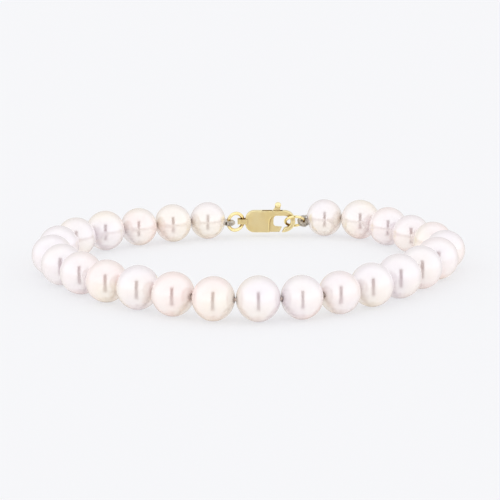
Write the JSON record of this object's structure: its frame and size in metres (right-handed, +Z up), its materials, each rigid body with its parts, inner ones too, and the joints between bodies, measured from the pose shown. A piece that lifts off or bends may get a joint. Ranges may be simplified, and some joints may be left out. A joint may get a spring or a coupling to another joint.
{
  "type": "pearl bracelet",
  "caption": "Pearl bracelet in a closed loop, near-round white pearls knotted on silk, with a gold lobster clasp whose thumb lever opens the hook.",
  "frame": {"origin": "middle of the loop on the surface that the pearls rest on", "axes": "+Z up, +X along the loop's width, +Y towards the clasp"},
  "size_m": [0.0725, 0.0634, 0.0071],
  "materials": {
    "pearl": "polished nacre, cream white with a rose overtone",
    "silk": "twisted silk cord, knotted",
    "gold": "polished yellow gold",
    "french_wire": "fine coiled wire, satin"
  },
  "bodies": {
    "strand": {"pearl_01": "pearl", "pearl_02": "pearl", "pearl_03": "pearl", "pearl_04": "pearl", "pearl_05": "pearl", "pearl_06": "pearl", "pearl_07": "pearl", "pearl_08": "pearl", "pearl_09": "pearl", "pearl_10": "pearl", "pearl_11": "pearl", "pearl_12": "pearl", "pearl_13": "pearl", "pearl_14": "pearl", "pearl_15": "pearl", "pearl_16": "pearl", "pearl_17": "pearl", "pearl_18": "pearl", "pearl_19": "pearl", "pearl_20": "pearl", "pearl_21": "pearl", "pearl_22": "pearl", "pearl_23": "pearl", "pearl_24": "pearl", "pearl_25": "pearl", "pearl_26": "pearl", "silk_thread": "silk", "tail_ring": "gold", "gimp_left": "french_wire", "end_link": "gold", "gimp_right": "french_wire", "clasp_body": "gold"},
    "lever": {"clasp_lever": "gold"}
  },
  "joints": [
    {"name": "lever_pivot", "type": "hinge", "parent": "strand", "child": "lever", "pos_m": [0.0025, 0.028, 0.0031], "axis": [0, -1, 0], "range_deg": [0, 26], "stiffness_Nm_per_rad": 0.0002, "springref_deg": -11.46}
  ]
}
